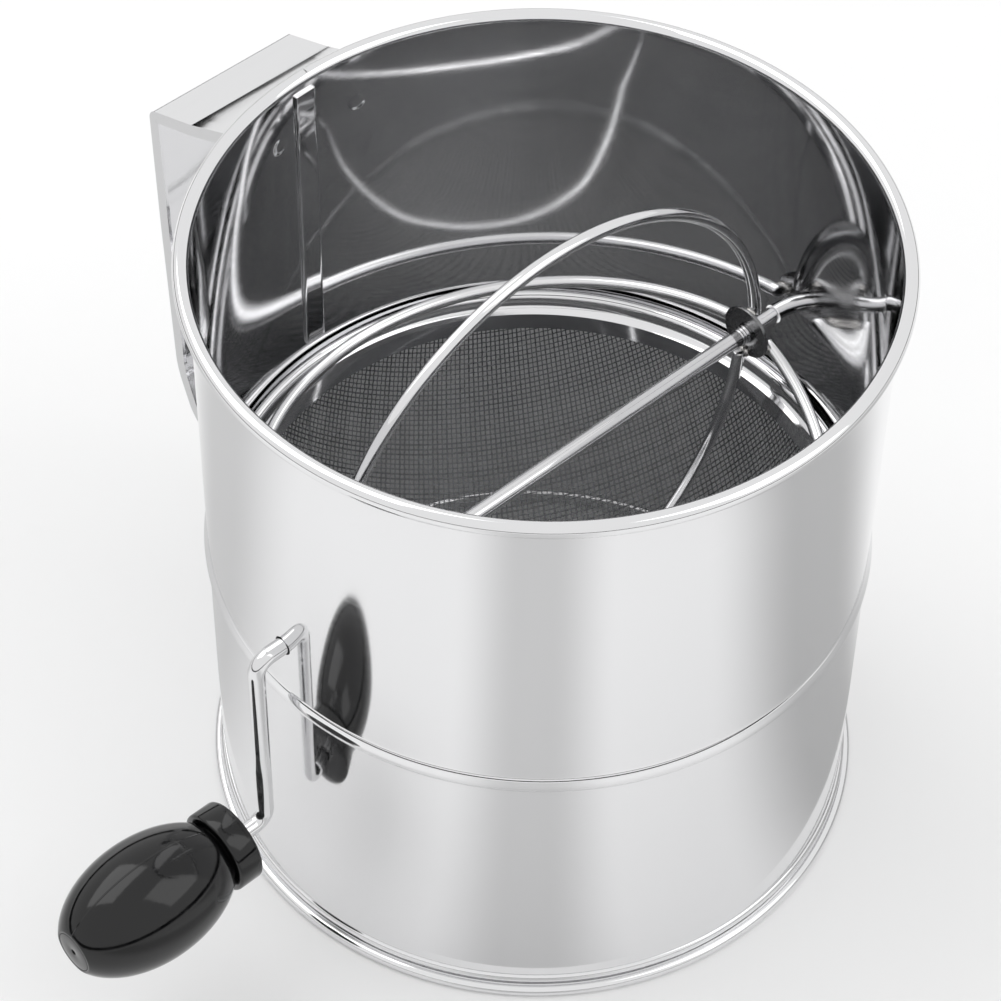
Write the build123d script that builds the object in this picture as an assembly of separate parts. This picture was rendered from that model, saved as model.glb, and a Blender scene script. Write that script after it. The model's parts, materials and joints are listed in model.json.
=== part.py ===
from build123d import *
import math
import os

# Hand-crank flour sifter. Millimetres, +Z up. The origin is the centre of the base, on the surface that
# the sifter stands on. The crank leaves the body toward -Y and the handle stands off toward -X.

# --- Driving dimensions ---------------------------------------------------------------------------

# Body: a drum of rolled sheet, open at both ends
body_radius = 80.0            # outer face of the plain wall
body_height = 175.0
sheet = 0.5
rim_wire_radius = 1.3         # stiffening wire inside the top curl
base_wire_radius = 0.9        # stiffening wire inside the base curl
curl_clearance = 0.1          # sheet to the wire that it is curled over
curl_sweep = 305              # degrees that each curl wraps
base_land_depth = 0.05        # how far the base curl is pressed flat where it stands
bead_z = 83.3                 # middle bead, which locates the mesh
bead_width = 5.0
bead_depth = 0.9
foot_bead_z = 4.9             # small bead just above the base curl
foot_bead_width = 2.4
foot_bead_depth = 0.8
seam_width = 6.0              # flat lock seam on the inside, behind the handle
seam_depth = 0.8
seam_angle = 182.6            # degrees from +X
seam_end_gap = 3.0            # seam to the beads and the mesh rings

# Mesh bowl and the two rings that clamp its edge
ring_wall_gap = 0.2
ring_width = 6.9              # wall to the inner edge of the upper ring's lip
ring_lip_drop = 7.5           # bead centre down to the edge of the upper ring's lip
ring_lip_height = 3.6         # upper ring's lip
ring_crest = 1.45             # radius of the upper ring's rolled crest
ring_crest_drop = 0.7         # bead centre down to the centre of the crest
ring_valley_drop = 2.7        # bead centre down to the foot of the crest
ring_shoulder_bulge = 0.3
backing_drop = 1.2            # edge of the backing ring below the edge of the lip
backing_height = 4.0
backing_slope = 0.6           # rise of the backing ring's flange toward the wall
mesh_thickness = 0.8          # two crossing wires
mesh_clamp_gap = 0.1
mesh_centre_rise = 3.1        # centre of the bowl above the shaft

# Crank: one bent wire, which is the shaft, the arm and the knob's pin
wire_radius = 2.1
shaft_rise = 17.6             # shaft axis above the middle bead
hole_clearance = 0.4          # shaft to the hole in the wall
far_end_length = 3.5          # shaft end beyond the far wall
arm_gap = 8.0                 # outer wall to the arm's axis
crank_throw = 58.4            # shaft axis to pin axis
bend_radius = 4.0

# Agitator: four half loops of wire between two discs on the shaft
loop_wire_radius = 1.6
agitator_offset = 2.5         # toward the far wall
agitator_clearance = 3.7      # loops to the bottom of the bowl
loop_angles = (0, 98, 180, 252)   # from straight up, turning toward the handle
loop_end_height = 5.2         # shaft axis to the cut end of each loop
inner_loop = 2                # the loop that is seated on the discs' inner faces
hub_radius = 7.2
hub_thickness = 1.0
hub_fit = 0.02                # disc bore to shaft
seat_gap = 0.05

# Knob
knob_standoff = 9.4           # arm axis to the collar
collar_length = 7.0
collar_radius = 10.6
neck_length = 0.8
neck_radius = 7.6
egg_length = 40.9
egg_radius = 15.1
egg_half_length = 24.0        # semi-axis of the ellipse, along the pin
egg_widest = 18.8             # neck to the widest place
knob_running_fit = 0.1        # pin to bore
knob_end_play = 0.3
plug_radius = 5.15
plug_thickness = 2.4
plug_gap = 0.05
plug_hole_radius = 0.7
nut_pocket_length = 9.5       # from the tip of the knob
push_nut_radius = 4.4
push_nut_thickness = 0.6
pin_beyond_nut = 1.4

# Handle: a strap with its edges folded in, spot-welded to the wall at both ends
strap = 0.9
handle_width = 42.7
handle_reach = 36.9           # outer wall to the upper corner of the grip
handle_top_drop = 9.3         # body top to where the strap meets the wall
handle_foot_z = 38.2          # base to where the strap meets the wall again
flange_depth = 2.8
foot_height = 13.0
foot_overlap = 4.0            # how far a foot's band runs into the strap's bend before it is trimmed
foot_gap = 0.2
weld_radius = 2.5
weld_spacing = 24.0
# Corners of the strap between its ends: (distance in from the grip's outer face, drop from the strap's
# top, fillet). The last two are drops from the strap's lower end instead.
upper_corners = ((15.8, 9.6, 40), (0.0, 15.5, 3), (0.8, 52.7, 300))
lower_corners = ((2.7, -24.8, 25), (8.9, -8.2, 12))
end_rise = 2.5                # the strap's line carried on to inside the wall, at the top
end_fall = 1.7                # and at the bottom

# --- Sizes that follow from them ------------------------------------------------------------------

wall_inner = body_radius - sheet
shaft_z = bead_z + shaft_rise
wall_middle = body_radius - sheet / 2
rim_curl_radius = rim_wire_radius + curl_clearance + sheet
base_curl_radius = base_wire_radius + curl_clearance + sheet
rim_curl_centre = (wall_inner + rim_curl_radius, body_height - rim_curl_radius)
base_curl_centre = (wall_inner + base_curl_radius, base_curl_radius - base_land_depth)

lip_z = bead_z - ring_lip_drop
lip_radius = wall_inner - ring_width
mesh_centre_z = shaft_z + mesh_centre_rise
clamp_step = mesh_thickness / 2 + mesh_clamp_gap + sheet / 2
mesh_radius = math.hypot(lip_radius + sheet / 2, mesh_centre_z - lip_z) + clamp_step
loop_radius = (
    shaft_z - (mesh_centre_z - mesh_radius + mesh_thickness / 2) - loop_wire_radius - agitator_clearance
)

hub_outer_face = math.sqrt(loop_radius**2 - hub_radius**2) - loop_wire_radius - seat_gap
hub_inner_face = hub_outer_face - hub_thickness
inner_loop_radius = math.hypot(hub_inner_face - seat_gap - loop_wire_radius, loop_end_height)

arm_y = -(body_radius + arm_gap)
pin_z = shaft_z - crank_throw
collar_y = arm_y - knob_standoff
neck_y = collar_y - collar_length
tip_y = neck_y - neck_length - egg_length
nut_y = tip_y + nut_pocket_length - knob_end_play
pin_end_y = nut_y - push_nut_thickness - pin_beyond_nut
handle_top_z = body_height - handle_top_drop


def save(node, shape):
    """Write one sub-part, named for its node."""
    shape.label = node
    export_step(shape, f"parts/{node}.step")


def turned(section):
    """A solid of revolution about the body's axis from a section drawn in (radius, height)."""
    return revolve(Plane.XZ * section, Axis.Z, 360)


def wall_bead(z, width, depth):
    """Outward bead in the wall, as an arc of the sheet's middle line."""
    return ThreePointArc(
        (wall_middle, z - width / 2), (wall_middle + depth, z), (wall_middle, z + width / 2)
    )


def wall_line(z_low, z_high):
    """Straight stretch of the sheet's middle line."""
    return Line((wall_middle, z_low), (wall_middle, z_high))


def along_y(radius, y_start, y_end, x=0.0, z=0.0):
    """Round bar parallel to Y."""
    bar = Plane(origin=(x, y_start, z), z_dir=(0, 1, 0)) * Circle(radius)
    return extrude(bar, y_end - y_start)


# --- Body -----------------------------------------------------------------------------------------


def make_body_shell():
    """Wall, beads and both curls in one sheet, with the lock seam and the two shaft holes."""
    foot_low = foot_bead_z - foot_bead_width / 2
    foot_high = foot_bead_z + foot_bead_width / 2
    base_curl = CenterArc(base_curl_centre, base_curl_radius - sheet / 2, 180, curl_sweep)
    rim_curl = CenterArc(rim_curl_centre, rim_curl_radius - sheet / 2, 180, -curl_sweep)
    middle_line = (
        base_curl
        + wall_line(base_curl_centre[1], foot_low)
        + wall_bead(foot_bead_z, foot_bead_width, foot_bead_depth)
        + wall_line(foot_high, bead_z - bead_width / 2)
        + wall_bead(bead_z, bead_width, bead_depth)
        + wall_line(bead_z + bead_width / 2, rim_curl_centre[1])
        + rim_curl
    )
    shell = turned(trace(middle_line, sheet))
    land_cutter = Pos(0, 0, -body_radius) * Box(3 * body_radius, 3 * body_radius, 2 * body_radius)
    hole = along_y(wire_radius + hole_clearance, -2 * body_radius, 2 * body_radius, z=shaft_z)
    shell = shell - land_cutter - hole
    seam_spans = (
        (foot_high + seam_end_gap, lip_z - seam_end_gap),
        (bead_z + bead_width / 2 + seam_end_gap, body_height - 2 * rim_curl_radius),
    )
    for low, high in seam_spans:
        shell = shell + seam_strip(low, high)
    return shell


def seam_strip(z_low, z_high):
    """One length of the flat lock seam, lying on the inside of the wall."""
    inner = wall_inner - seam_depth
    outer = wall_inner + sheet / 2
    sweep = math.degrees(seam_width / wall_inner)
    centre = ((inner + outer) / 2, (z_low + z_high) / 2)
    section = Pos(*centre) * Rectangle(outer - inner, z_high - z_low)
    strip = revolve(Plane.XZ * section, Axis.Z, sweep)
    return Rot(0, 0, seam_angle - sweep / 2) * strip


def make_edge_wire(centre, radius):
    """Stiffening wire that the sheet's edge is curled over."""
    return turned(Pos(*centre) * Circle(radius))


# --- Mesh bowl and its rings ----------------------------------------------------------------------


def bowl_point(offset, z):
    """Point at a height on the sphere that lies offset outside the mesh's middle surface."""
    return (math.sqrt((mesh_radius + offset) ** 2 - (mesh_centre_z - z) ** 2), z)


def bowl_arc(offset, z_low, z_high):
    """Arc of that sphere between two heights."""
    points = [bowl_point(offset, z) for z in (z_low, (z_low + z_high) / 2, z_high)]
    return ThreePointArc(*points)


def make_mesh_bowl():
    """Bowl of wire cloth, hanging below the rings: the closed outer form of the woven wires."""
    edge_z = lip_z + ring_lip_drop / 2
    outside = Pos(0, 0, mesh_centre_z) * Sphere(mesh_radius + mesh_thickness / 2)
    inside = Pos(0, 0, mesh_centre_z) * Sphere(mesh_radius - mesh_thickness / 2)
    upper_half = Pos(0, 0, edge_z + body_height / 2) * Box(
        3 * body_radius, 3 * body_radius, body_height
    )
    return outside - inside - upper_half


def make_mesh_ring_upper():
    """Pressed ring on the inside of the mesh: a lip, a shoulder, a rolled crest and a skirt at the wall."""
    skirt = wall_inner - ring_wall_gap - sheet / 2
    crest_z = bead_z - ring_crest_drop
    valley = skirt - 2 * ring_crest
    valley_z = bead_z - ring_valley_drop
    lip_top = bowl_point(-clamp_step, lip_z + ring_lip_height)
    shoulder = ((lip_top[0] + valley) / 2 - ring_shoulder_bulge, valley_z + ring_shoulder_bulge)
    section = (
        bowl_arc(-clamp_step, lip_z, lip_top[1])
        + ThreePointArc(lip_top, shoulder, (valley, valley_z))
        + Line((valley, valley_z), (valley, crest_z))
        + ThreePointArc(
            (valley, crest_z), (skirt - ring_crest, crest_z + ring_crest), (skirt, crest_z)
        )
        + Line((skirt, crest_z), (skirt, bead_z - bead_width / 2))
    )
    return turned(trace(section, sheet))


def make_mesh_ring_lower():
    """Backing ring under the edge of the mesh, with a skirt at the wall."""
    skirt = wall_inner - ring_wall_gap - sheet / 2
    low_z = lip_z - backing_drop
    flange_z = low_z + backing_height
    section = (
        bowl_arc(clamp_step, low_z, flange_z)
        + Line(bowl_point(clamp_step, flange_z), (skirt, flange_z + backing_slope))
        + Line((skirt, flange_z + backing_slope), (skirt, low_z + backing_slope))
    )
    return turned(trace(section, sheet))


# --- Crank and agitator ---------------------------------------------------------------------------


def make_crank_rod():
    """Shaft, arm and pin bent from one wire; both cut ends are broken by a small chamfer."""
    far_y = body_radius + far_end_length
    corners = [(0, far_y, shaft_z), (0, arm_y, shaft_z), (0, arm_y, pin_z), (0, pin_end_y, pin_z)]
    path = FilletPolyline(*corners, radius=bend_radius)
    start = Plane(origin=corners[0], z_dir=(0, -1, 0))
    rod = sweep(start * Circle(wire_radius), path)
    ends = rod.edges().filter_by(GeomType.CIRCLE).sort_by(Axis.Y)
    return chamfer([ends[0], ends[-1]], wire_radius / 4)


def make_hub_disc(side):
    """Washer-like disc fixed on the shaft; side is 1 toward the far wall and -1 toward the crank."""
    faces = sorted(agitator_offset + side * face for face in (hub_inner_face, hub_outer_face))
    disc = along_y(hub_radius, *faces, z=shaft_z)
    return disc - along_y(wire_radius + hub_fit, *faces, z=shaft_z)


def make_loop(number):
    """One half loop of the agitator, cut off square beside the shaft at both ends."""
    radius = inner_loop_radius if number == inner_loop else loop_radius
    end_angle = math.degrees(math.asin(loop_end_height / radius))
    section = Pos(0, radius) * Circle(loop_wire_radius)
    upright = Rot(end_angle, 0, 0) * revolve(section, Axis.X, 180 - 2 * end_angle)
    return Pos(0, agitator_offset, shaft_z) * Rot(0, -loop_angles[number], 0) * upright


# --- Knob -----------------------------------------------------------------------------------------


def make_knob_collar():
    """Loose collar on the pin, between the bend and the knob."""
    ring = along_y(collar_radius, neck_y, collar_y, z=pin_z)
    edges = ring.edges().filter_by(GeomType.CIRCLE)
    ring = fillet(edges, collar_length / 8)
    return ring - along_y(wire_radius + knob_running_fit, neck_y, collar_y, z=pin_z)


def make_knob_body():
    """Moulded egg-shaped grip with a bore for the pin and a pocket for the push nut and end plug."""
    egg_start = neck_y - neck_length
    ellipse = Pos(egg_start - egg_widest, 0) * Ellipse(egg_half_length, egg_radius)
    kept = Pos((egg_start + tip_y) / 2, egg_radius) * Rectangle(egg_length, 2 * egg_radius)
    neck = Pos(neck_y - neck_length, neck_radius / 2) * Rectangle(2 * neck_length, neck_radius)
    half = (ellipse & kept) + neck
    axis_plane = Plane(origin=(0, 0, pin_z), x_dir=(0, 1, 0), z_dir=(1, 0, 0))
    egg = revolve(axis_plane * half, Axis((0, 0, pin_z), (0, 1, 0)), 360)
    bore = along_y(wire_radius + knob_running_fit, tip_y - 1, neck_y + 1, z=pin_z)
    pocket = along_y(plug_radius + plug_gap, tip_y - 1, tip_y + nut_pocket_length, z=pin_z)
    return egg - bore - pocket


def make_knob_end_plug():
    """Flat plug that closes the pocket, flush with the knob's tip."""
    plug = along_y(plug_radius, tip_y, tip_y + plug_thickness, z=pin_z)
    return plug - along_y(plug_hole_radius, tip_y - 1, tip_y + plug_thickness + 1, z=pin_z)


def make_knob_push_nut():
    """Star washer pressed on the pin, which keeps the knob on."""
    nut = along_y(push_nut_radius, nut_y - push_nut_thickness, nut_y, z=pin_z)
    return nut - along_y(wire_radius + hub_fit, nut_y - push_nut_thickness, nut_y, z=pin_z)


# --- Handle ---------------------------------------------------------------------------------------


def handle_line():
    """Middle line of the strap, in (x, z), from inside the wall at the top to inside it below."""
    outer = -(body_radius + handle_reach)
    end_x = -(wall_inner - handle_width / 8)
    upper = [(outer + inward, handle_top_z - drop) for inward, drop, _ in upper_corners]
    lower = [(outer + inward, handle_foot_z - drop) for inward, drop, _ in lower_corners]
    ends = [(end_x, handle_top_z + end_rise), (end_x, handle_foot_z - end_fall)]
    fillets = [corner[2] for corner in upper_corners + lower_corners]
    return FilletPolyline(ends[0], *upper, *lower, ends[1], radius=fillets)


def make_handle_strap():
    """Strap with folded edges, trimmed to the wall, with a foot at each end that lies on the wall."""
    line = handle_line()
    closed = make_face(line + Line(line @ 1, line @ 0))
    inside = extrude(Plane.XZ * closed, handle_width / 2 + strap, both=True)
    strip = extrude(Plane.XZ * trace(line, strap), handle_width / 2, both=True)
    flange_section = trace(line, 2 * flange_depth) & closed
    flange_y = (handle_width - strap) / 2
    for side in (1, -1):
        flange = extrude(Plane.XZ * flange_section, strap / 2, both=True)
        strip = strip + Pos(0, side * flange_y, 0) * flange
    foot_radius = body_radius + foot_gap
    strip = strip - Cylinder(foot_radius, 4 * body_height)
    upper_foot = foot_band(handle_top_z - foot_height, handle_top_z + foot_overlap) & inside
    lower_foot = foot_band(handle_foot_z - foot_height, handle_foot_z + foot_overlap) - inside
    return strip + upper_foot + lower_foot


def foot_band(z_low, z_high):
    """Band of the strap's thickness that follows the wall over the handle's width."""
    foot_radius = body_radius + foot_gap
    section = Pos(foot_radius + strap / 2, (z_low + z_high) / 2) * Rectangle(strap, z_high - z_low)
    ring = turned(section)
    window = Pos(-foot_radius, 0, (z_low + z_high) / 2) * Box(
        2 * foot_radius, handle_width, z_high - z_low
    )
    return ring & window


def make_handle_welds():
    """Four spot-weld nuggets that fill the gap between the feet and the wall."""
    margin = foot_gap / 10
    section = Pos(body_radius + foot_gap / 2, body_height / 2) * Rectangle(
        foot_gap - 2 * margin, body_height
    )
    gap = turned(section)
    nuggets = []
    for z in (handle_top_z - foot_height / 2, handle_foot_z - foot_height / 2):
        for side in (1, -1):
            place = Plane(origin=(0, side * weld_spacing / 2, z), z_dir=(-1, 0, 0))
            pin = extrude(place * Circle(weld_radius), body_radius + handle_reach)
            nuggets += (gap & pin).solids()
    return Compound(children=nuggets)


# --- Write every node -----------------------------------------------------------------------------

os.makedirs("parts", exist_ok=True)
save("body_shell", make_body_shell())
save("rim_wire", make_edge_wire(rim_curl_centre, rim_wire_radius))
save("base_wire", make_edge_wire(base_curl_centre, base_wire_radius))
save("mesh_bowl", make_mesh_bowl())
save("mesh_ring_upper", make_mesh_ring_upper())
save("mesh_ring_lower", make_mesh_ring_lower())
save("crank_rod", make_crank_rod())
save("hub_disc_near", make_hub_disc(-1))
save("hub_disc_far", make_hub_disc(1))
for number in range(len(loop_angles)):
    save(f"agitator_loop_{number + 1}", make_loop(number))
save("knob_collar", make_knob_collar())
save("knob_body", make_knob_body())
save("knob_end_plug", make_knob_end_plug())
save("knob_push_nut", make_knob_push_nut())
save("handle_strap", make_handle_strap())
save("handle_welds", make_handle_welds())

print(f"mesh radius {mesh_radius:.2f}, loop radius {loop_radius:.2f}, inner loop {inner_loop_radius:.2f}")
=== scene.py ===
# %% [markdown]
# A hand-crank flour sifter, finished over its CAD frame. The CAD model fixes where everything is. Each
# step below looks at one piece of the real sifter, says how it could be made, and makes it.

# %% Load the frame
import json
import math

import bmesh
import bpy
from mathutils import Matrix, Vector


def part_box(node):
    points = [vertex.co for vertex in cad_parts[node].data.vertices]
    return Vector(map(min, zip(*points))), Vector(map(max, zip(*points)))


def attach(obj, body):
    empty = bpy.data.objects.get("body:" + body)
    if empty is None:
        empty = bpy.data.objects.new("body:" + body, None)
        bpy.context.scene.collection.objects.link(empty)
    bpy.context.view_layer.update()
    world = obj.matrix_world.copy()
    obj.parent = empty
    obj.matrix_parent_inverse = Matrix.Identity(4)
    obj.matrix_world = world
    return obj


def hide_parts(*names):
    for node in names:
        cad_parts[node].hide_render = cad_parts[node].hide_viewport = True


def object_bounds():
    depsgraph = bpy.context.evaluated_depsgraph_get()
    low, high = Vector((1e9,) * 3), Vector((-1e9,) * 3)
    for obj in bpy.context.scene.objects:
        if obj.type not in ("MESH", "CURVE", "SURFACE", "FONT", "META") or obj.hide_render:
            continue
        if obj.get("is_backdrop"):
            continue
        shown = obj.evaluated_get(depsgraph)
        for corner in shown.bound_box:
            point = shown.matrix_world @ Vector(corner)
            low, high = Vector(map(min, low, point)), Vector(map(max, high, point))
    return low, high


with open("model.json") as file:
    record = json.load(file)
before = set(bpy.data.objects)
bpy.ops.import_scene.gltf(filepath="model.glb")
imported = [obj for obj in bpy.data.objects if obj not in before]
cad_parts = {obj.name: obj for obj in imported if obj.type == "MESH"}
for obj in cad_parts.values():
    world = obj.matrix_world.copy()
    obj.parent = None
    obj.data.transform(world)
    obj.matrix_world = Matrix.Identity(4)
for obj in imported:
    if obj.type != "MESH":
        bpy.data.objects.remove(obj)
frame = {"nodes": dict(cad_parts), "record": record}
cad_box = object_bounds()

MM = 0.001
joints = {joint["name"]: joint for joint in frame["record"]["behaviour"]["joints"]}
print("CAD box", [tuple(round(c / MM, 1) for c in corner) for corner in cad_box])

# %% [markdown]
# Every place is read from the CAD nodes' boxes and the joints. The sheet's gauge, the bead and the curls
# are repeated here in millimetres, because a box can't say them.

# %% Sizes that all pieces share
SHEET = 0.5 * MM
body_low, body_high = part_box("body_shell")
WALL = 79.75 * MM                       # middle of the sheet in the plain wall
TOP = body_high.z
SHAFT = Vector(joints["crank_spin"]["pos_m"])
PIN = Vector(joints["knob_spin"]["pos_m"])
AXIS_Y = Vector((0, 1, 0))
AXIS_Z = Vector((0, 0, 1))
ROUND = 256                             # steps around the drum
print("wall", WALL / MM, "shaft height", SHAFT.z / MM, "pin height", PIN.z / MM)


# %% [markdown]
# The shapes are nearly all bent wire and turned or pressed sheet. Both are drawn the same way: start from
# one point or one ring, pull it along, or swing it about a centre. Extrude and Spin do this in the editor,
# and the helpers below are those two commands on a bmesh.

# %% Pull and swing
def pull(bm, start, step):
    """Extrude points or rings by a step, and give back what was pulled."""
    edges = [g for g in start if isinstance(g, bmesh.types.BMEdge)]
    if edges:
        made = bmesh.ops.extrude_edge_only(bm, edges=edges)["geom"]
        verts = [g for g in made if isinstance(g, bmesh.types.BMVert)]
    else:
        made = bmesh.ops.extrude_vert_indiv(bm, verts=start)["verts"]
        verts = list(made)
    bmesh.ops.translate(bm, verts=verts, vec=step)
    if not edges:
        return verts
    return [g for g in made if isinstance(g, bmesh.types.BMEdge)]


def swing(bm, start, centre, axis, degrees, steps):
    """Spin points or rings about a centre, and give back the last ones."""
    geom = list(start)
    if isinstance(geom[0], bmesh.types.BMEdge):
        geom += list({v for e in geom for v in e.verts})
    made = bmesh.ops.spin(
        bm, geom=geom, cent=centre, axis=axis, dvec=(0, 0, 0), angle=math.radians(degrees),
        steps=steps, use_merge=False, use_normal_flip=False, use_duplicate=False,
    )["geom_last"]
    kind = type(geom[0])
    return [g for g in made if isinstance(g, kind)]


def lathe(bm, centre, axis, steps=ROUND):
    """Turn everything in the mesh once around an axis, and close the seam and the poles."""
    bmesh.ops.spin(
        bm, geom=bm.verts[:] + bm.edges[:], cent=centre, axis=axis, dvec=(0, 0, 0),
        angle=math.tau, steps=steps, use_merge=True, use_normal_flip=False, use_duplicate=False,
    )
    bmesh.ops.remove_doubles(bm, verts=bm.verts, dist=0.001 * MM)
    bmesh.ops.recalc_face_normals(bm, faces=bm.faces)


def first_point(bm, x, y, z):
    """One vertex to start a line from."""
    return [bmesh.ops.create_vert(bm, co=(x, y, z))["vert"][0]]


# %% Finish a piece
def finish_piece(bm, name, body, material, stands_for, sharp=40, wall=0.0):
    """Write the mesh, shade it, give sheet its thickness, and hang it on its CAD body."""
    mesh = bpy.data.meshes.new(name)
    bm.to_mesh(mesh)
    bm.free()
    piece = bpy.data.objects.new(name, mesh)
    bpy.context.scene.collection.objects.link(piece)
    if wall:
        thicken = piece.modifiers.new("wall", "SOLIDIFY")
        thicken.thickness = wall
        thicken.offset = 0
        thicken.use_even_offset = True
        settle(piece)
    piece.data.polygons.foreach_set("use_smooth", [True] * len(piece.data.polygons))
    piece.data.set_sharp_from_angle(angle=math.radians(sharp))
    piece.data.materials.clear()
    piece.data.materials.append(material)
    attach(piece, body)
    if stands_for:
        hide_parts(*stands_for)
    print(f"{name}: {len(piece.data.polygons)} faces on {body}")
    return piece


def settle(piece):
    """Apply a piece's modifiers, so that the mesh is what it looks like."""
    graph = bpy.context.evaluated_depsgraph_get()
    graph.update()
    finished = bpy.data.meshes.new_from_object(piece.evaluated_get(graph))
    piece.modifiers.clear()
    piece.data = finished


# %% [markdown]
# Materials. Each starts from what the real one is and how its surface was made. Colours are written as
# sRGB hex, as in a paint program, and one function turns them into the linear values that shaders use.

# %% Colour and node helpers
def colour(text):
    """Linear RGBA from an sRGB hex value."""
    parts = [int(text[i:i + 2], 16) / 255 for i in (1, 3, 5)]
    return [c / 12.92 if c <= 0.04045 else ((c + 0.055) / 1.055) ** 2.4 for c in parts] + [1]


def add(tree, kind, links=None, values=None, **settings):
    """Add a node with its settings, its constant inputs, and the sockets linked to its inputs."""
    node = tree.nodes.new(kind)
    for key, value in settings.items():
        setattr(node, key, value)
    for key, value in (values or {}).items():
        node.inputs[key].default_value = value
    for key, socket in (links or {}).items():
        tree.links.new(socket, node.inputs[key])
    return node


def new_material(name, **shader):
    """A material with one Principled shader, whose constant values sit on the shader itself."""
    material = bpy.data.materials.new(name)
    material.use_nodes = True
    tree = material.node_tree
    surface = tree.nodes["Principled BSDF"]
    for key, value in shader.items():
        surface.inputs[key.replace("_", " ")].default_value = value
    return material, tree, surface


# %% [markdown]
# Polished stainless sheet, 18/8 grade, rolled bright and buffed after forming. The eye sees an almost
# clean mirror with a very faint grain around the drum, slow ripples where the roller left the sheet
# slightly uneven, and shallow round dents at the spot welds. Grain lines are really under a tenth of a
# millimetre apart; here they are drawn 0.6 mm apart so that they show at all.

# %% Polished stainless sheet
def polished_sheet():
    material, tree, surface = new_material("polished_stainless_sheet", Metallic=1.0, Roughness=0.07)
    surface.inputs["Base Color"].default_value = colour("#EBEBEC")
    place = add(tree, "ShaderNodeTexCoord").outputs["Object"]
    grain_space = add(tree, "ShaderNodeMapping", {"Vector": place}, {"Scale": (40, 40, 1 / (0.6 * MM))})
    grain = add(tree, "ShaderNodeTexNoise", {"Vector": grain_space.outputs[0]},
                {"Scale": 1.0, "Detail": 2.0, "Roughness": 0.6})
    polish = add(tree, "ShaderNodeMapRange", {"Value": grain.outputs[0]},
                 {"From Min": 0.3, "From Max": 0.7, "To Min": 0.045, "To Max": 0.085})
    tree.links.new(polish.outputs[0], surface.inputs["Roughness"])
    ripple = add(tree, "ShaderNodeTexNoise", {"Vector": place},
                 {"Scale": 1 / (38 * MM), "Detail": 1.0, "Roughness": 0.4})
    heights = add(tree, "ShaderNodeMath", {0: ripple.outputs[0]}, {1: 0.12 * MM}, operation="MULTIPLY")
    for weld in weld_places():
        away = add(tree, "ShaderNodeVectorMath", {0: place}, {1: weld}, operation="DISTANCE")
        dent = add(tree, "ShaderNodeMapRange", {"Value": away.outputs["Value"]},
                   {"From Min": 1.5 * MM, "From Max": 2.9 * MM, "To Min": -0.12 * MM, "To Max": 0.0},
                   interpolation_type="SMOOTHSTEP")
        heights = add(tree, "ShaderNodeMath", {0: heights.outputs[0], 1: dent.outputs[0]},
                      operation="ADD")
    bump = add(tree, "ShaderNodeBump", {"Height": heights.outputs[0]}, {"Strength": 1.0, "Distance": 1.0})
    tree.links.new(bump.outputs[0], surface.inputs["Normal"])
    return material


def weld_places():
    """The four spot welds of the handle, in the middle of each CAD nugget's height."""
    low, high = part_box("handle_welds")
    nugget = 2.5 * MM
    spots = []
    for y in (low.y + nugget, high.y - nugget):
        for z in (low.z + nugget, high.z - nugget):
            spots.append((-math.sqrt((80.3 * MM) ** 2 - y * y), y, z))
    return spots


SHEET_METAL = polished_sheet()
print("spot welds at", [tuple(round(c / MM, 1) for c in spot) for spot in weld_places()])

# %% [markdown]
# Drawn stainless wire. Pulling wire through a die leaves fine lines along it, so its shine is clean
# across the wire and slightly broken along it. Streaks are laid out in Object space, stretched by noise.

# %% Wire finishes
def drawn_wire(name, hexcode, rough_low, rough_high, grain_mm):
    material, tree, surface = new_material(name, Metallic=1.0)
    surface.inputs["Base Color"].default_value = colour(hexcode)
    place = add(tree, "ShaderNodeTexCoord").outputs["Object"]
    streak = add(tree, "ShaderNodeTexNoise", {"Vector": place},
                 {"Scale": 1 / (grain_mm * MM), "Detail": 3.0, "Roughness": 0.6})
    shine = add(tree, "ShaderNodeMapRange", {"Value": streak.outputs[0]},
                {"From Min": 0.3, "From Max": 0.7, "To Min": rough_low, "To Max": rough_high})
    tree.links.new(shine.outputs[0], surface.inputs["Roughness"])
    bump = add(tree, "ShaderNodeBump", {"Height": streak.outputs[0]},
               {"Strength": 0.25, "Distance": 0.02 * MM})
    tree.links.new(bump.outputs[0], surface.inputs["Normal"])
    return material


BRIGHT_WIRE = drawn_wire("drawn_stainless_wire", "#E9E9EA", 0.06, 0.14, 0.9)
STEEL_WIRE = drawn_wire("plated_steel_wire", "#E6E6E7", 0.05, 0.11, 1.6)
# The woven cloth's wire gets a dark grey base colour, darker than stainless: painted shade for the inside of
# the drum.
CLOTH_WIRE = drawn_wire("woven_stainless_wire_painted_shade", "#77787A", 0.22, 0.38, 0.5)
DISC_METAL = drawn_wire("stamped_steel_disc", "#8E8E8F", 0.18, 0.30, 0.7)
WELD_METAL = drawn_wire("weld_bead", "#C9C7C4", 0.14, 0.34, 0.5)

# %% [markdown]
# The knob is black thermoplastic, injection moulded in a polished tool. It is glossy with a hint of orange
# peel, and a hair-thin flash line runs over it where the two halves of the mould met.

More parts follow.
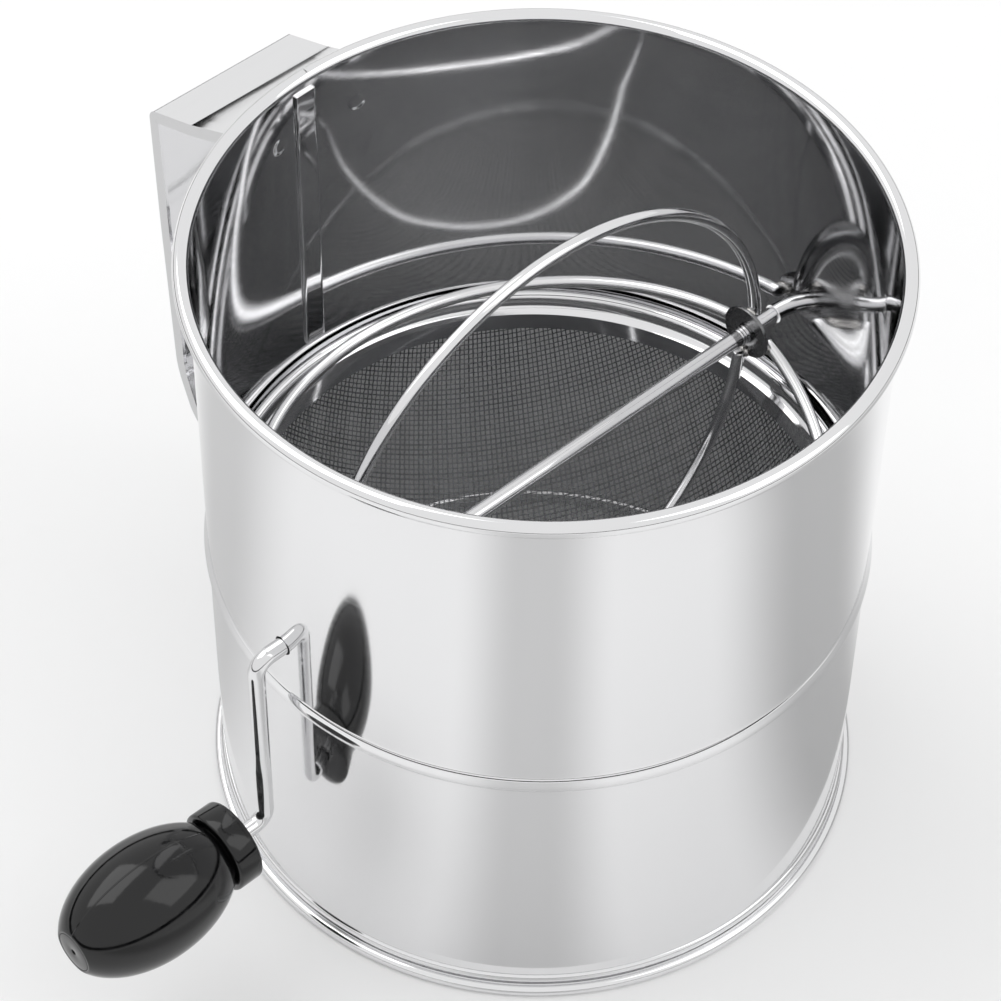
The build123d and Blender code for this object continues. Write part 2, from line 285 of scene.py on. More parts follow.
# %% Moulded black plastic
def moulded_black(name, flash_line):
    material, tree, surface = new_material(name, Metallic=0.0, IOR=1.5)
    surface.inputs["Base Color"].default_value = colour("#070708")
    place = add(tree, "ShaderNodeTexCoord").outputs["Object"]
    peel = add(tree, "ShaderNodeTexNoise", {"Vector": place},
               {"Scale": 1 / (2.2 * MM), "Detail": 2.0, "Roughness": 0.5})
    gloss = add(tree, "ShaderNodeMapRange", {"Value": peel.outputs[0]},
                {"From Min": 0.3, "From Max": 0.7, "To Min": 0.07, "To Max": 0.13})
    tree.links.new(gloss.outputs[0], surface.inputs["Roughness"])
    height = add(tree, "ShaderNodeMath", {0: peel.outputs[0]}, {1: 0.012 * MM}, operation="MULTIPLY")
    if flash_line:
        across = add(tree, "ShaderNodeSeparateXYZ", {0: place})
        away = add(tree, "ShaderNodeMath", {0: across.outputs["X"]}, operation="ABSOLUTE")
        ridge = add(tree, "ShaderNodeMapRange", {"Value": away.outputs[0]},
                    {"From Min": 0.05 * MM, "From Max": 0.25 * MM, "To Min": 0.06 * MM, "To Max": 0.0})
        height = add(tree, "ShaderNodeMath", {0: height.outputs[0], 1: ridge.outputs[0]},
                     operation="ADD")
    bump = add(tree, "ShaderNodeBump", {"Height": height.outputs[0]}, {"Strength": 1.0, "Distance": 1.0})
    tree.links.new(bump.outputs[0], surface.inputs["Normal"])
    return material


KNOB_PLASTIC = moulded_black("moulded_black_plastic", True)
COLLAR_PLASTIC = moulded_black("moulded_black_plastic_collar", False)

# %% [markdown]
# The drum is one sheet rolled into a tube, beaded, and curled over a wire at both ends. The way to model
# it is the way to draw it: the sheet's middle line from the base curl up to the rim curl, one turn around
# the axis, and then the sheet's thickness. The shaft holes are punched last.

# %% Draw the drum's line
RIM_CURL = 1.65 * MM                    # middle of the sheet in the rim curl
BASE_CURL = 1.25 * MM
CURL_SWEEP = 305
rim_centre = Vector((81.4 * MM, 0, TOP - 1.9 * MM))
base_centre = Vector((81.0 * MM, 0, 1.5 * MM))


def bead(bm, tip, width, depth, steps=10):
    """An outward bead: an arc over the chord that the bead takes out of the wall."""
    radius = (width ** 2 / 4 + depth ** 2) / (2 * depth)
    half = math.degrees(math.asin(width / 2 / radius))
    centre = tip[0].co + Vector((depth - radius, 0, width / 2))
    return swing(bm, tip, centre, -AXIS_Y, 2 * half, steps)


def drum_line(bm):
    """Middle line of the sheet, from the tucked-in edge of the base curl to that of the rim curl."""
    tip = first_point(bm, WALL, 0, base_centre.z)
    swing(bm, tip, base_centre, -AXIS_Y, CURL_SWEEP, 24)
    stops = [3.4, 3.7, "foot", 6.5, 30, 60, 80.4, 80.8, "middle", 86.2, 94, 107, 130, 155]
    for stop in stops:
        if stop == "foot":
            tip = bead(bm, tip, 2.4 * MM, 0.8 * MM, 8)
        elif stop == "middle":
            tip = bead(bm, tip, 5.0 * MM, 0.9 * MM, 12)
        else:
            tip = pull(bm, tip, (0, 0, stop * MM - tip[0].co.z))
    tip = pull(bm, tip, (0, 0, rim_centre.z - tip[0].co.z))
    swing(bm, tip, rim_centre, AXIS_Y, CURL_SWEEP, 28)


bm = bmesh.new()
drum_line(bm)
print("drum line:", len(bm.verts), "points, top", round(max(v.co.z for v in bm.verts) / MM, 2))
lathe(bm, (0, 0, 0), AXIS_Z)
drum = finish_piece(bm, "drum_shell", "root", SHEET_METAL, ["body_shell"],
                    wall=SHEET)


# %% [markdown]
# The rim curl is cut where its two ends meet beside the handle, and leaves a slanted gap as fine as a
# hair. That gap and both shaft holes are taken out with Boolean cutters, because they cross the curve of
# the wall and nothing else of the mesh needs to follow them.

# %% Punch the shaft holes and cut the rim joint
HOLE = 2.5 * MM
RIM_GAP = 0.22 * MM


def cutter(bm, name):
    mesh = bpy.data.meshes.new(name)
    bm.to_mesh(mesh)
    bm.free()
    tool = bpy.data.objects.new(name, mesh)
    bpy.context.scene.collection.objects.link(tool)
    return tool


bm = bmesh.new()
bmesh.ops.create_cone(bm, cap_ends=True, segments=48, radius1=HOLE, radius2=HOLE, depth=0.2,
                      matrix=Matrix.Translation((0, 0, SHAFT.z)) @ Matrix.Rotation(math.pi / 2, 4, "X"))
bmesh.ops.create_cube(bm, size=1, matrix=Matrix.Rotation(math.radians(181), 4, "Z")
                      @ Matrix.Translation((82.6 * MM, 0, TOP)) @ Matrix.Rotation(0.5, 4, "X")
                      @ Matrix.Diagonal((4.0 * MM, RIM_GAP, 5.0 * MM, 1)))
punch = cutter(bm, "punch")
cut = drum.modifiers.new("holes", "BOOLEAN")
cut.object = punch
cut.operation = "DIFFERENCE"
cut.solver = "EXACT"
settle(drum)
bpy.data.objects.remove(punch)
drum.data.set_sharp_from_angle(angle=math.radians(40))
print("drum after punching:", len(drum.data.polygons), "faces")

# %% [markdown]
# Behind the handle the drum's edges are folded over each other into a flat lock seam. Inside it shows as
# a strip slightly proud of the wall. A short arc of the wall, thickened and with its edges rounded, does.

# %% Lock seam
SEAM_PROUD = 0.8 * MM
SEAM_WIDTH = 6.0 * MM
seam_angle = math.radians(182.6)
bm = bmesh.new()
for low, high in ((9.1 * MM, 72.8 * MM), (88.8 * MM, TOP - 3.8 * MM)):
    inside = WALL - SHEET / 2 - SEAM_PROUD
    half = SEAM_WIDTH / inside / 2
    tip = first_point(bm, inside * math.cos(seam_angle - half), inside * math.sin(seam_angle - half), low)
    line = pull(bm, tip, (0, 0, high - low))
    swing(bm, list(line[0].link_edges), (0, 0, 0), AXIS_Z, math.degrees(2 * half), 8)
bmesh.ops.recalc_face_normals(bm, faces=bm.faces)
made = bmesh.ops.extrude_face_region(bm, geom=bm.faces[:])
for vert in (g for g in made["geom"] if isinstance(g, bmesh.types.BMVert)):
    outward = Vector((vert.co.x, vert.co.y, 0)).normalized()
    vert.co += outward * (SEAM_PROUD + SHEET / 4)
bmesh.ops.recalc_face_normals(bm, faces=bm.faces)
corners = [e for e in bm.edges if e.is_manifold and e.calc_face_angle(0) > 1.0]
bmesh.ops.bevel(bm, geom=corners, offset=0.25 * MM, affect="EDGES", segments=3, profile=0.5, material=-1)
finish_piece(bm, "lock_seam", "root", SHEET_METAL, ["body_shell"])

# %% [markdown]
# Two pressed rings clamp the edge of the mesh: one inside with a lip, a shoulder and a rolled crest, and a
# plain backing ring under it. They are sheet too, so the same recipe holds: line, one turn, thickness.

# %% Clamp rings
BOWL_CENTRE = Vector((0, 0, 104.0 * MM))
BOWL = 78.87 * MM                       # middle of the cloth
SKIRT = 79.05 * MM
bead_z = 83.3 * MM
crest = 1.45 * MM


def bowl_angle(z, offset):
    """Angle from straight down, at the bowl's centre, of a height on the offset sphere."""
    return math.degrees(math.acos((BOWL_CENTRE.z - z) / (BOWL + offset)))


def ring_piece(name, offset, z_low, z_high, replaced):
    bm = bmesh.new()
    start, end = bowl_angle(z_low, offset), bowl_angle(z_high, offset)
    radius = BOWL + offset
    tip = first_point(bm, radius * math.sin(math.radians(start)), 0, z_low)
    tip = swing(bm, tip, BOWL_CENTRE, -AXIS_Y, end - start, 6)
    if offset < 0:
        valley = SKIRT - 2 * crest
        tip = pull(bm, tip, ((valley - tip[0].co.x) * 0.45, 0, 0.55 * MM))
        tip = pull(bm, tip, (valley - 0.25 * MM - tip[0].co.x, 0, bead_z - 2.7 * MM - tip[0].co.z))
        tip = pull(bm, tip, (0.25 * MM, 0, 0.4 * MM))
        tip = pull(bm, tip, (0, 0, bead_z - 0.7 * MM - tip[0].co.z))
        tip = swing(bm, tip, tip[0].co + Vector((crest, 0, 0)), AXIS_Y, 180, 16)
        pull(bm, tip, (0, 0, bead_z - 2.5 * MM - tip[0].co.z))
    else:
        tip = pull(bm, tip, (SKIRT - tip[0].co.x, 0, 0.6 * MM))
        pull(bm, tip, (0, 0, -4.0 * MM))
    lathe(bm, (0, 0, 0), AXIS_Z, 192)
    return finish_piece(bm, name, "root", SHEET_METAL, [replaced], wall=SHEET)


ring_piece("clamp_ring", -0.75 * MM, 75.8 * MM, 79.4 * MM, "mesh_ring_upper")
ring_piece("backing_ring", 0.75 * MM, 74.6 * MM, 78.6 * MM, "mesh_ring_lower")

# %% [markdown]
# The sieve is plain-woven wire cloth pressed into a bowl. A texture would look flat where the light comes
# through it, so every wire is a curve with one point per crossing, and each point steps half a wire up or
# down to go over or under. The flat cloth is laid on the sphere by keeping each point's distance from the
# middle, as a pressed cloth nearly does. A square bevel keeps each wire to four faces per crossing.

# %% Woven wire cloth
WARP_PITCH = 1.30 * MM
WEFT_PITCH = 1.46 * MM
CLOTH_WIRE_RADIUS = 0.19 * MM
cloth_edge = math.radians(bowl_angle(79.3 * MM, 0)) * BOWL
warp_across = math.radians(149)         # direction across the warp wires
weft_across = math.radians(55)


def on_bowl(flat, lift):
    """A point of the flat cloth, laid on the bowl and lifted toward its middle."""
    distance = flat.length
    turn = distance / BOWL
    outward = flat.normalized() if distance > 0 else flat
    down = Vector((outward.x * math.sin(turn), outward.y * math.sin(turn), -math.cos(turn)))
    return BOWL_CENTRE + down * (BOWL - lift)


def weave(name, across, pitch, other_across, other_pitch, over):
    """One family of wires. Its points are where it crosses the other family."""
    data = bpy.data.curves.new(name, "CURVE")
    data.dimensions = "3D"
    data.bevel_depth = CLOTH_WIRE_RADIUS
    data.bevel_resolution = 0
    normal = Vector((math.cos(across), math.sin(across)))
    other = Vector((math.cos(other_across), math.sin(other_across)))
    skew = normal.x * other.y - normal.y * other.x
    count = int(cloth_edge / pitch)
    reach = int(cloth_edge / other_pitch) + 8
    for i in range(-count, count + 1):
        places = []
        for j in range(-reach, reach + 1):
            a, b = i * pitch, j * other_pitch
            flat = Vector(((a * other.y - b * normal.y) / skew, (b * normal.x - a * other.x) / skew))
            if flat.length < cloth_edge:
                side = 1 if (i + j + over) % 2 else -1
                places.append(on_bowl(flat, side * CLOTH_WIRE_RADIUS * 0.95))
        if len(places) > 2:
            spline = data.splines.new("POLY")
            spline.points.add(len(places) - 1)
            spline.points.foreach_set("co", [c for p in places for c in (*p, 1)])
    source = bpy.data.objects.new(name, data)
    bpy.context.scene.collection.objects.link(source)
    graph = bpy.context.evaluated_depsgraph_get()
    mesh = bpy.data.meshes.new_from_object(source.evaluated_get(graph))
    bpy.data.objects.remove(source)
    bm = bmesh.new()
    bm.from_mesh(mesh)
    return finish_piece(bm, name, "root", CLOTH_WIRE, ["mesh_bowl"], sharp=180)


weave("sieve_warp", warp_across, WARP_PITCH, weft_across, WEFT_PITCH, 0)
weave("sieve_weft", weft_across, WEFT_PITCH, warp_across, WARP_PITCH, 1)

# %% [markdown]
# The crank is one wire: shaft, arm and knob pin. It is drawn as it is bent, from the far end: a ring of
# points pulled along the shaft, swung through the bend, pulled down the arm, and swung again to the pin.

# %% Crank wire
CRANK_WIRE = 2.1 * MM
BEND = 4.0 * MM
crank_low, crank_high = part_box("crank_rod")
arm_y = -88.0 * MM


def wire_ring(bm, radius, place, turn, sides=24):
    """A ring of points to pull a wire from; the circle faces along Z before it is turned."""
    ring = bmesh.ops.create_circle(bm, cap_ends=False, segments=sides, radius=radius,
                                   matrix=Matrix.Translation(place) @ turn)["verts"]
    return list({e for v in ring for e in v.link_edges})


def close_ends(bm, chamfer):
    """Close a wire's open ends and take the sharp corner off them, as a cropping tool leaves them."""
    open_edges = [e for e in bm.edges if e.is_boundary]
    bmesh.ops.holes_fill(bm, edges=open_edges, sides=0)
    bmesh.ops.recalc_face_normals(bm, faces=bm.faces)
    bmesh.ops.bevel(bm, geom=open_edges, offset=chamfer, affect="EDGES", segments=3, profile=0.5,
                    material=-1)


bm = bmesh.new()
ring = wire_ring(bm, CRANK_WIRE, (0, crank_high.y, SHAFT.z), Matrix.Rotation(math.pi / 2, 4, "X"))
ring = pull(bm, ring, (0, arm_y + BEND - crank_high.y, 0))
ring = swing(bm, ring, (0, arm_y + BEND, SHAFT.z - BEND), (1, 0, 0), 90, 12)
ring = pull(bm, ring, (0, 0, -(SHAFT.z - PIN.z - 2 * BEND)))
ring = swing(bm, ring, (0, arm_y - BEND, PIN.z + BEND), (1, 0, 0), -90, 12)
ring = pull(bm, ring, (0, crank_low.y - (arm_y - BEND), 0))
close_ends(bm, 0.5 * MM)
finish_piece(bm, "crank_wire", "crank", STEEL_WIRE, ["crank_rod"])

# %% [markdown]
# Four half loops of wire sweep the bowl. Their ends are cut square beside the shaft and welded to two
# stamped discs. A loop is a ring of points swung nearly half a turn about the agitator's middle.

# %% Agitator loops
LOOP_WIRE = 1.6 * MM
LOOP_END = 5.2 * MM
LOOP_TURNS = {1: 0, 2: 98, 3: 180, 4: 252}
hub_low, hub_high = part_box("hub_disc_near")[0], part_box("hub_disc_far")[1]
middle = Vector((0, (hub_low.y + hub_high.y) / 2, SHAFT.z))


def agitator_loop(number, turn):
    radius = 65.60 * MM if number == 3 else 70.07 * MM
    start = math.degrees(math.asin(LOOP_END / radius))
    bm = bmesh.new()
    ring = wire_ring(bm, LOOP_WIRE, middle + Vector((0, radius, 0)), Matrix.Identity(4), 20)
    first = list({v for e in ring for v in e.verts})
    bmesh.ops.rotate(bm, verts=first, cent=middle, matrix=Matrix.Rotation(math.radians(start), 3, "X"))
    swing(bm, ring, middle, (1, 0, 0), 180 - 2 * start, 96)
    close_ends(bm, 0.3 * MM)
    bmesh.ops.rotate(bm, verts=bm.verts, cent=middle, matrix=Matrix.Rotation(-math.radians(turn), 3, "Y"))
    node = f"agitator_loop_{number}"
    return finish_piece(bm, f"agitator_wire_{number}", "crank", BRIGHT_WIRE, [node])


for number, turn in LOOP_TURNS.items():
    agitator_loop(number, turn)

# %% [markdown]
# Each disc is stamped from sheet, so its outer edge is slightly rounded, and the shaft is pinched on both
# sides of it to hold it. A disc is a small rectangle turned once around the shaft.


# %% Hub discs, shaft crimps and weld beads
def turned_band(bm, centre, r_low, r_high, y_low, y_high, steps=64):
    """A ring with a rectangular section, turned about a line parallel to Y."""
    tip = first_point(bm, r_low, y_low, centre.z)
    tip = pull(bm, tip, (r_high - r_low, 0, 0))
    tip = pull(bm, tip, (0, y_high - y_low, 0))
    tip = pull(bm, tip, (r_low - r_high, 0, 0))
    pull(bm, tip, (0, y_low - y_high, 0))
    lathe(bm, centre, AXIS_Y, steps)


def round_corners(bm, offset, limit=0.7):
    edges = [e for e in bm.edges if e.is_manifold and e.calc_face_angle(0) > limit]
    bmesh.ops.bevel(bm, geom=edges, offset=offset, affect="EDGES", segments=3, profile=0.5, material=-1)


for side in ("near", "far"):
    low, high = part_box(f"hub_disc_{side}")
    bm = bmesh.new()
    turned_band(bm, SHAFT, CRANK_WIRE, 7.2 * MM, low.y, high.y)
    round_corners(bm, 0.25 * MM)
    finish_piece(bm, f"hub_{side}", "crank", DISC_METAL, [f"hub_disc_{side}"])

bm = bmesh.new()
CRIMP = 0.35 * MM
for side, sign in (("near", 1), ("far", -1)):
    low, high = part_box(f"hub_disc_{side}")
    face = high.y if side == "near" else low.y
    for step in range(3):
        y = face + sign * (0.5 + 0.9 * step) * MM
        piece = bmesh.new()
        turned_band(piece, SHAFT, CRANK_WIRE - 0.2 * MM, CRANK_WIRE + CRIMP * (1 - 0.25 * step),
                    y - 0.28 * MM, y + 0.28 * MM, 32)
        round_corners(piece, 0.15 * MM)
        mesh = bpy.data.meshes.new("band")
        piece.to_mesh(mesh)
        piece.free()
        bm.from_mesh(mesh)
        bpy.data.meshes.remove(mesh)
finish_piece(bm, "shaft_crimps", "crank", STEEL_WIRE, [])


# %% [markdown]
# A weld bead is metal that melted and set again: a small uneven lump. A ball pressed flat, with its points
# moved in and out by a smooth wave, is enough at this size.

# %% Weld beads
def weld_bead(bm, place, sizes, seed):
    made = bmesh.ops.create_icosphere(bm, subdivisions=3, radius=1,
                                      matrix=Matrix.Translation(place) @ Matrix.Diagonal((*sizes, 1)))
    for vert in made["verts"]:
        away = vert.co - place
        wave = math.sin(away.x / (0.9 * MM) + seed) * math.cos(away.y / (0.7 * MM) + 2 * seed)
        vert.co = place + away * (1 + 0.12 * wave)


bm = bmesh.new()
for side, out in (("near", -1), ("far", 1)):
    low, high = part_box(f"hub_disc_{side}")
    face = low.y if side == "near" else high.y
    for number, turn in LOOP_TURNS.items():
        angle = math.radians(turn)
        radial = Vector((-math.sin(angle), 0, math.cos(angle)))
        y = face + out * 0.2 * MM if number != 3 else face - out * 1.4 * MM
        place = Vector((0, y, SHAFT.z)) + radial * 6.0 * MM
        weld_bead(bm, place, (1.9 * MM, 0.9 * MM, 1.5 * MM), number + 3 * out)
finish_piece(bm, "loop_welds", "crank", WELD_METAL, [], sharp=180)

# %% [markdown]
# The knob is three mouldings: a loose collar, the egg-shaped grip and a plug in its end. An ellipse is a
# circle squashed one way, so the grip's outline is an arc swung about its middle and then scaled.

# %% Knob
EGG_HALF = 24.0 * MM
EGG_WIDE = 15.1 * MM
egg_low, egg_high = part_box("knob_body")
neck_y = egg_high.y
tip_y = egg_low.y
egg_start = neck_y - 0.8 * MM
egg_middle = Vector((0, egg_start - 18.8 * MM, PIN.z))
BORE = 2.2 * MM
POCKET = 5.2 * MM

bm = bmesh.new()
first_angle = math.acos((egg_start - egg_middle.y) / EGG_HALF)
last_angle = math.acos((tip_y - egg_middle.y) / EGG_HALF)
arc_start = first_point(bm, EGG_HALF * math.sin(first_angle),
                        egg_middle.y + EGG_HALF * math.cos(first_angle), PIN.z)
swept = math.degrees(last_angle - first_angle)
swing(bm, arc_start, egg_middle, -AXIS_Z, swept, 56)
bmesh.ops.scale(bm, verts=bm.verts, vec=(EGG_WIDE / EGG_HALF, 1, 1))
start_point = min(bm.verts, key=lambda v: abs(v.co.y - egg_start))
end_point = min(bm.verts, key=lambda v: abs(v.co.y - tip_y))
neck = pull(bm, [start_point], (7.6 * MM - start_point.co.x, 0, 0))
neck = pull(bm, neck, (0, neck_y - egg_start, 0))
neck = pull(bm, neck, (BORE - 7.6 * MM, 0, 0))
neck = pull(bm, neck, (0, tip_y + 9.5 * MM - neck_y, 0))
pocket = pull(bm, neck, (POCKET - BORE, 0, 0))
pocket = pull(bm, pocket, (0, tip_y - pocket[0].co.y, 0))
pull(bm, pocket, (end_point.co.x - POCKET, 0, 0))
bmesh.ops.remove_doubles(bm, verts=bm.verts, dist=0.001 * MM)
lathe(bm, PIN, AXIS_Y, 96)
round_corners(bm, 0.22 * MM, 0.6)
finish_piece(bm, "knob_grip", "knob", KNOB_PLASTIC, ["knob_body"])

low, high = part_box("knob_collar")
bm = bmesh.new()
turned_band(bm, PIN, BORE, 10.6 * MM, low.y, high.y, 96)
round_corners(bm, 0.85 * MM)
finish_piece(bm, "knob_ring", "knob", COLLAR_PLASTIC, ["knob_collar"])

low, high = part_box("knob_end_plug")
bm = bmesh.new()
turned_band(bm, PIN, 0.7 * MM, 5.15 * MM, low.y, high.y, 64)
round_corners(bm, 0.18 * MM)
finish_piece(bm, "knob_plug", "knob", COLLAR_PLASTIC, ["knob_end_plug"])

# %% [markdown]
# The handle is a strap of thick sheet. Its two long edges are folded in toward the fingers so that nothing
# sharp is left to hold, and both ends turn down and lie on the drum, where they are spot-welded. The strap
# is a line pulled sideways, its corners bevelled to the real bend radii, its edges pulled inward, and the
# whole thickened.

# %% Handle strap
STRAP = 0.9 * MM
HANDLE_WIDTH = 42.7 * MM
FOLD = 2.8 * MM
ACROSS = 16                             # faces over the strap's width
strap_low, strap_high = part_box("handle_strap")
GRIP_X = strap_low.x + STRAP / 2
FOOT = 80.65 * MM                       # middle of the feet, on the wall
upper_top = TOP - 9.3 * MM
lower_foot = 38.2 * MM
grip_points = [(15.8, upper_top - 9.6 * MM), (0.0, upper_top - 15.5 * MM), (0.8, upper_top - 52.7 * MM),
               (2.7, lower_foot + 24.8 * MM), (8.9, lower_foot + 8.2 * MM)]
bend_radii = [40, 3, 300, 25, 12]
end_x = -74.16 * MM


def strap_outline():
    """Corners of the strap's line in (x, z), from the upper foot's end to the lower foot's."""
    corners = [(GRIP_X + inward * MM, z) for inward, z in grip_points]
    corners = [(end_x, upper_top + 2.5 * MM)] + corners + [(end_x, lower_foot - 1.7 * MM)]
    return corners


def meet_wall(inner, outer, y):
    """Where the strap's sloping end meets the wall at one place across its width."""
    x = -math.sqrt(FOOT ** 2 - y * y)
    share = (x - outer[0]) / (inner[0] - outer[0])
    return Vector((x, y, outer[1] + share * (inner[1] - outer[1])))


bm = bmesh.new()
line = strap_outline()
half = (HANDLE_WIDTH - STRAP) / 2
tip = first_point(bm, line[0][0], -half, line[0][1])
for a, b in zip(line, line[1:]):
    tip = pull(bm, tip, (b[0] - a[0], 0, b[1] - a[1]))
spine = bm.edges[:]
for _ in range(ACROSS):
    spine = pull(bm, spine, (0, 2 * half / ACROSS, 0))
for vert in bm.verts:
    for inner, outer in ((line[0], line[1]), (line[-1], line[-2])):
        if abs(vert.co.x - inner[0]) < 0.01 * MM and abs(vert.co.z - inner[1]) < 0.01 * MM:
            vert.co = meet_wall(inner, outer, vert.co.y)
for z_end, drop in ((upper_top, upper_top - 13.0 * MM), (lower_foot, lower_foot - 13.0 * MM)):
    rim = [e for e in bm.edges if e.is_boundary and abs(e.verts[0].co.x - e.verts[1].co.x) < 2 * MM
           and abs(e.verts[0].co.y - e.verts[1].co.y) > 0.5 * MM
           and abs((e.verts[0].co.z + e.verts[1].co.z) / 2 - z_end) < 3.5 * MM]
    foot = pull(bm, rim, (0, 0, 0))
    for vert in {v for e in foot for v in e.verts}:
        vert.co.z = drop
bmesh.ops.recalc_face_normals(bm, faces=bm.faces)
print("strap faces", len(bm.faces), "points", len(bm.verts))

for (x, z), radius in zip(line[1:-1], bend_radii):
    crease = [e for e in bm.edges if all(abs(v.co.x - x) < 0.01 * MM and abs(v.co.z - z) < 0.01 * MM
                                         for v in e.verts)]
    turn = crease[0].calc_face_angle()
    bmesh.ops.bevel(bm, geom=crease, offset=radius * MM * math.tan(turn / 2), offset_type="OFFSET",
                    affect="EDGES", segments=max(6, int(turn * 14)), profile=0.5, material=-1)
feet = [e for e in bm.edges if e.is_manifold and e.calc_face_angle(0) > 0.5
        and abs(e.verts[0].co.y - e.verts[1].co.y) > 0.5 * MM
        and min(math.hypot(v.co.x, v.co.y) for v in e.verts) < FOOT + 0.05 * MM]
bmesh.ops.bevel(bm, geom=feet, offset=1.6 * MM, affect="EDGES", segments=5, profile=0.5, material=-1)

bm.normal_update()
sample = min(bm.faces, key=lambda f: f.calc_center_median().x)
if sample.normal.x > 0:
    bmesh.ops.reverse_faces(bm, faces=bm.faces)
    bm.normal_update()
sides = [e for e in bm.edges if e.is_boundary and all(abs(abs(v.co.y) - half) < 0.01 * MM for v in e.verts)
         and max(math.hypot(v.co.x, v.co.y) for v in e.verts) > FOOT + 1.5 * MM]
inward = {v: v.normal.copy() for e in sides for v in e.verts}
places = {tuple(round(c / MM, 4) for c in v.co): n for v, n in inward.items()}
folded = pull(bm, sides, (0, 0, 0))
for vert in {v for e in folded for v in e.verts}:
    normal = places[tuple(round(c / MM, 4) for c in vert.co)]
    vert.co -= Vector((normal.x, 0, normal.z)).normalized() * FOLD
fold_line = [e for e in bm.edges if e.is_manifold and e.calc_face_angle(0) > 1.2
             and all(abs(abs(v.co.y) - half) < 0.01 * MM for v in e.verts)]
bmesh.ops.bevel(bm, geom=fold_line, offset=1.3 * MM, affect="EDGES", segments=5, profile=0.5, material=-1)
handle = finish_piece(bm, "handle", "root", SHEET_METAL, ["handle_strap"], wall=STRAP,
                      sharp=50)

# %% [markdown]
# The stiffening wires inside the curls, the weld nuggets behind the feet and the push nut in the knob are
# hardly seen. Their CAD shapes are right, so they stay and only take their finish.

# %% Carried-over CAD nodes
for name, material in (("rim_wire", BRIGHT_WIRE), ("base_wire", BRIGHT_WIRE),
                       ("handle_welds", WELD_METAL), ("knob_push_nut", STEEL_WIRE)):
    node = frame["nodes"][name]
    if not node.material_slots:
        node.data.materials.append(material)
    for material_slot in node.material_slots:
        material_slot.material = material
    print(name, "takes", material.name)

# %% [markdown]
# The studio. Polished metal has no look of its own: it shows the room. The room here is a pale floor,
# a bright even surround, and dark flags that only reflections can see, which draw the dark lines on the
# curls and, as painted shade on the floor, the soft bands on the drum.


# %% Floor and room
def stage_piece(bm, name, material):
    mesh = bpy.data.meshes.new(name)
    bm.to_mesh(mesh)
    bm.free()
    piece = bpy.data.objects.new(name, mesh)
    bpy.context.scene.collection.objects.link(piece)
    piece.data.materials.append(material)
    piece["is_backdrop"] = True
    return piece


def only_reflected(piece):
    """Seen in reflections and nowhere else."""
    piece.visible_camera = False
    piece.visible_diffuse = False
    piece.visible_shadow = False
    piece.visible_transmission = False


floor_paper, floor_tree, floor_surface = new_material("pale_paper", Roughness=0.65)
floor_surface.inputs["Base Color"].default_value = colour("#F3F3F3")
bm = bmesh.new()
bmesh.ops.create_circle(bm, cap_ends=True, segments=96, radius=4.0)
stage_piece(bm, "floor", floor_paper)

world = bpy.data.worlds.new("surround")
bpy.context.scene.world = world
world.use_nodes = True
sky = world.node_tree.nodes["Background"]
sky.inputs["Color"].default_value = colour("#FFFFFF")
sky.inputs["Strength"].default_value = 0.9

# %% [markdown]
# Two flags. One is a low ring far away: a curl or a bead turns through every direction, so it picks the
# ring up as one thin dark line. The other lies flat on the floor and is painted shade on it, fading in and
# out around the drum, because a camera above the sifter sees only floor in the upright wall. Its painted
# shade shows only in reflections, as the soft bands on the drum.


# %% Flags
def flag_material(name, shade, bands):
    """Dark cloth. With bands it is clear except around the given directions about the drum's axis, where it
    paints shade on the floor.
    """
    material = bpy.data.materials.new(name)
    material.use_nodes = True
    tree = material.node_tree
    tree.nodes.clear()
    out = add(tree, "ShaderNodeOutputMaterial")
    dark = add(tree, "ShaderNodeEmission", None, {"Color": colour(shade), "Strength": 1.0})
    if not bands:
        tree.links.new(dark.outputs[0], out.inputs["Surface"])
        return material
    place = add(tree, "ShaderNodeTexCoord").outputs["Object"]
    total = None
    for azimuth, half_width, soft, depth in bands:
        turned = add(tree, "ShaderNodeVectorRotate", {"Vector": place},
                     {"Angle": math.radians(-azimuth)}, rotation_type="Z_AXIS")
        xyz = add(tree, "ShaderNodeSeparateXYZ", {0: turned.outputs[0]})
        angle = add(tree, "ShaderNodeMath", {0: xyz.outputs["Y"], 1: xyz.outputs["X"]},
                    operation="ARCTAN2")
        away = add(tree, "ShaderNodeMath", {0: angle.outputs[0]}, operation="ABSOLUTE")
        share = add(tree, "ShaderNodeMapRange", {"Value": away.outputs[0]},
                    {"From Min": math.radians(half_width - soft), "From Max": math.radians(half_width + soft),
                     "To Min": depth, "To Max": 0.0}, interpolation_type="SMOOTHSTEP")
        if total is None:
            total = share
        else:
            total = add(tree, "ShaderNodeMath", {0: total.outputs[0], 1: share.outputs[0]},
                        operation="MAXIMUM")
    clear = add(tree, "ShaderNodeBsdfTransparent")
    mix = add(tree, "ShaderNodeMixShader", {0: total.outputs[0], 1: clear.outputs[0], 2: dark.outputs[0]})
    tree.links.new(mix.outputs[0], out.inputs["Surface"])
    return material


bm = bmesh.new()
tip = first_point(bm, 1.3, 0, 0.05)
pull(bm, tip, (0, 0, 0.13))
lathe(bm, (0, 0, 0), AXIS_Z, 96)
only_reflected(stage_piece(bm, "horizon_flag", flag_material("dark_cloth", "#101010", [])))
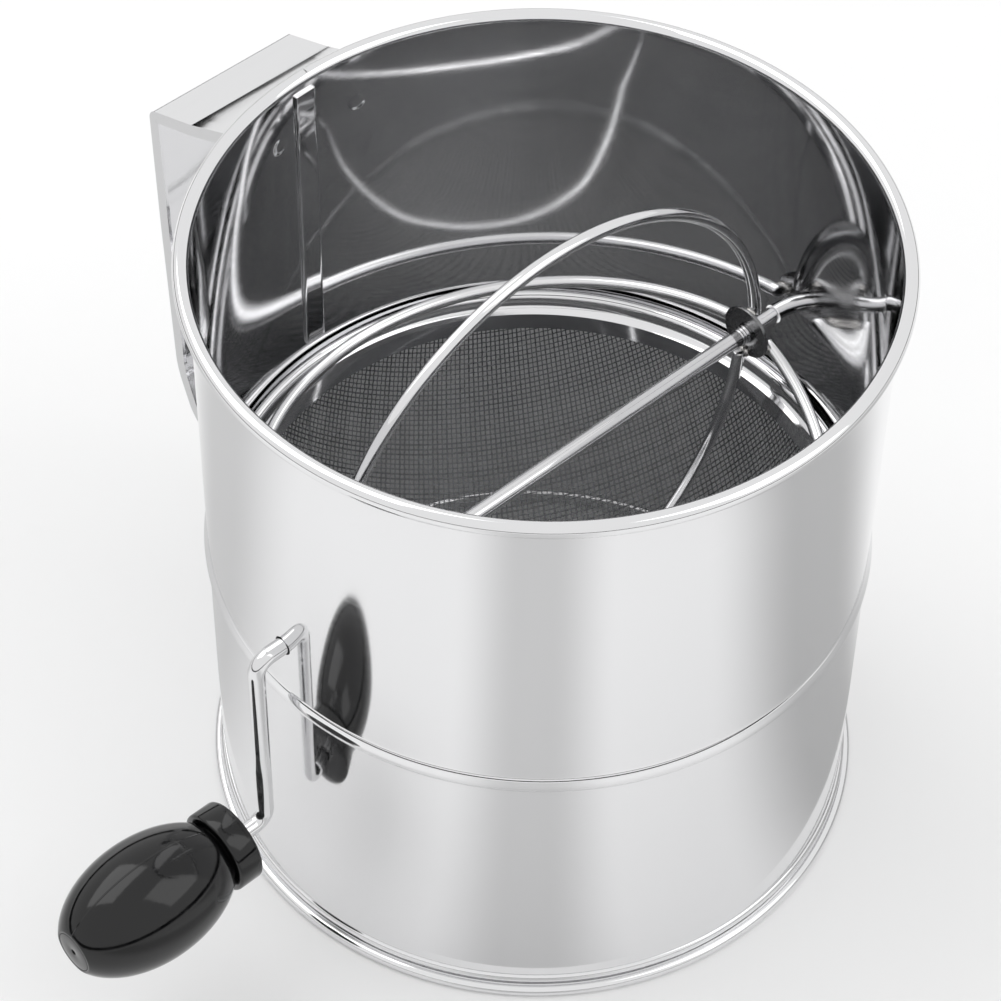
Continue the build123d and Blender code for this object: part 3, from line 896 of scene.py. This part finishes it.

# Painted shade: soft dark bands laid on the floor around the drum, which only reflections see.
FLOOR_SHADE_BANDS = [(-44, 13, 9, 0.32), (42, 24, 16, 0.45), (-150, 22, 16, 0.3)]
bm = bmesh.new()
tip = first_point(bm, 0.086, 0, 0.4 * MM)
pull(bm, tip, (0.6, 0, 0))
lathe(bm, (0, 0, 0), AXIS_Z, 96)
only_reflected(stage_piece(bm, "floor_shade_flag", flag_material("painted_floor_shade", "#3A3A3A", FLOOR_SHADE_BANDS)))

# %% [markdown]
# A large soft light from the upper left gives the long highlights on the wires and the knob, and a weaker
# one from the right fills the other side.


# %% Lights
def softbox(name, place, size, watts):
    data = bpy.data.lights.new(name, "AREA")
    data.shape = "RECTANGLE"
    data.size, data.size_y = size
    data.energy = watts
    light = bpy.data.objects.new(name, data)
    bpy.context.scene.collection.objects.link(light)
    light.location = place
    aim = Vector((0, 0, 0.08)) - Vector(place)
    light.rotation_euler = aim.to_track_quat("-Z", "Y").to_euler()


softbox("key", (-0.9, -0.3, 1.5), (1.3, 1.3), 7)
softbox("fill", (0.9, 0.5, 1.2), (0.9, 1.2), 3)

# %% [markdown]
# The camera looks down into the sifter from the crank's side, with a long lens from about 80 cm.

# %% Camera
camera_place = Vector((392.2, -380.0, 705.8)) * MM
camera_target = Vector((-6.43, -6.64, 90.17)) * MM
camera_roll = 0.0164
data = bpy.data.cameras.new("view")
data.lens = 122.76
data.sensor_width = 36
data.clip_start = 0.05
data.clip_end = 20
camera = bpy.data.objects.new("view", data)
bpy.context.scene.collection.objects.link(camera)
facing = (camera_target - camera_place).to_track_quat("-Z", "Y").to_matrix().to_4x4()
camera.matrix_world = Matrix.Translation(camera_place) @ facing @ Matrix.Rotation(camera_roll, 4, "Z")
bpy.context.scene.camera = camera
bpy.context.scene.view_settings.view_transform = "Standard"
print("camera", round((camera_place - camera_target).length, 3), "m from its target")

# %% [markdown]
# Last, the finished model has to lie inside the CAD box. Both boxes are printed.

# %% Print the boxes and finish
seen_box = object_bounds()
for name, corners in (("CAD", cad_box), ("finished", seen_box)):
    print(name, [[round(c / MM, 2) for c in corner] for corner in corners])
